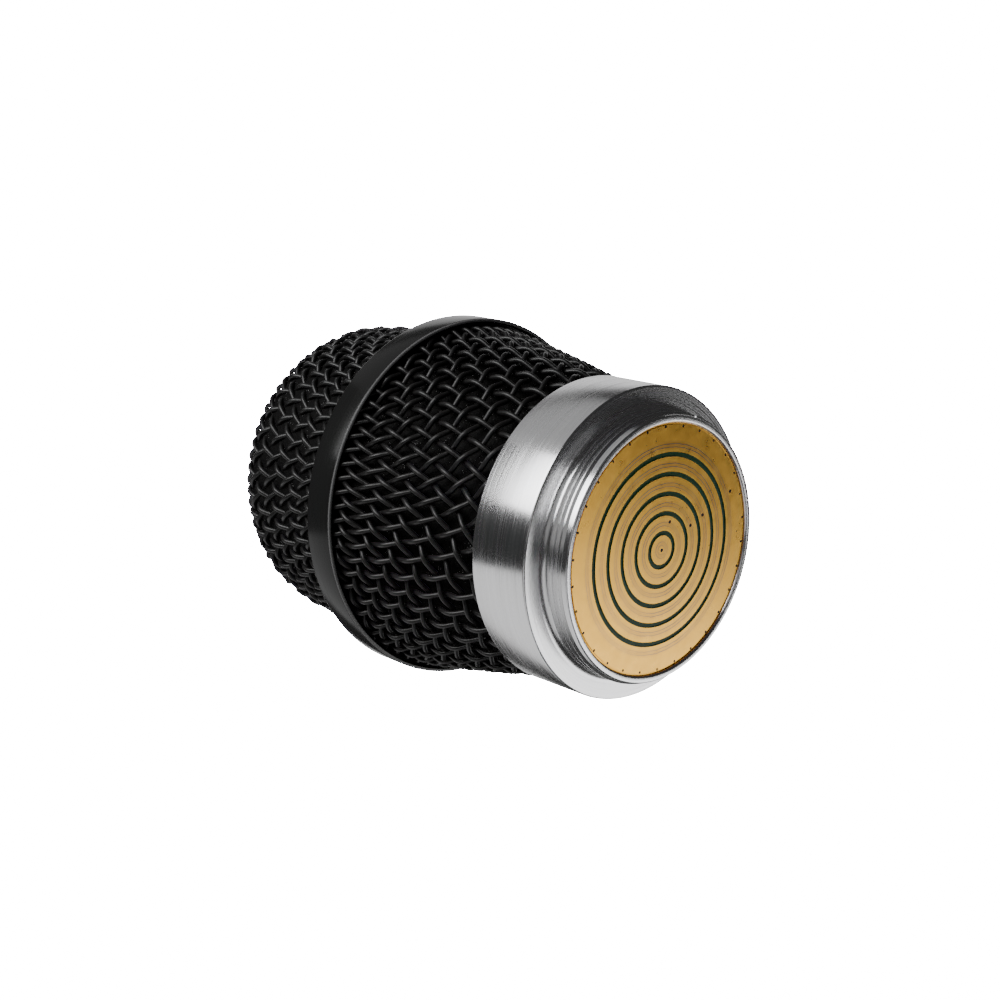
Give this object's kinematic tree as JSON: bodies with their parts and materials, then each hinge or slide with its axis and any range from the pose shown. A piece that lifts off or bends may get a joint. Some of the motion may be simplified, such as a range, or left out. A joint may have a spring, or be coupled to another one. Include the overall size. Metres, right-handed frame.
{
  "type": "condenser microphone capsule head",
  "caption": "Screw-on condenser microphone head: black woven wire grille with a band, silver threaded collar and a gilt contact board with concentric rings.",
  "frame": {"origin": "centre of the collar's end face, where the part stands", "axes": "+Z along the axis of the head, from the threaded collar to the dome; +X across one pedestal screw"},
  "size_m": [0.0458, 0.0458, 0.0624],
  "materials": {
    "turned_metal": "satin",
    "board_laminate": "satin",
    "gold_contact": "satin",
    "black_mesh": "satin",
    "black_band": "satin",
    "foam": "matte",
    "black_plastic": "matte",
    "white_plastic": "satin",
    "plain_brass": "satin",
    "screw_steel": "satin",
    "film_case": "gloss",
    "resistor_case": "gloss",
    "soft_rubber": "matte",
    "capsule_metal": "satin",
    "gold_film": "polished",
    "red_lead": "satin",
    "black_lead": "satin"
  },
  "bodies": {
    "root": {"collar": "turned_metal", "contact_board": "board_laminate", "centre_contact": "gold_contact", "contact_ring_1": "gold_contact", "contact_ring_2": "gold_contact", "contact_ring_3": "gold_contact", "contact_ring_4": "gold_contact", "contact_ring_5": "gold_contact", "lower_grille": "black_mesh", "band": "black_band", "upper_grille": "black_mesh", "lower_foam": "foam", "upper_foam": "foam", "pin_header": "black_plastic", "header_pins": "gold_contact", "board_spacers": "plain_brass", "board_screws": "screw_steel", "amplifier_board": "board_laminate", "field_effect_transistor": "screw_steel", "coupling_capacitor": "film_case", "bias_resistor": "resistor_case", "pedestal": "black_plastic", "pedestal_screws": "screw_steel", "shock_mount": "soft_rubber", "capsule_housing": "capsule_metal", "backplate_insulator": "white_plastic", "backplate": "plain_brass", "diaphragm_spacer": "white_plastic", "diaphragm": "gold_film", "diaphragm_ring": "plain_brass", "front_grid": "capsule_metal", "retaining_ring": "capsule_metal", "terminal_pin": "plain_brass", "terminal_bushing": "white_plastic", "signal_lead": "red_lead", "ground_lead": "black_lead"}
  },
  "joints": []
}
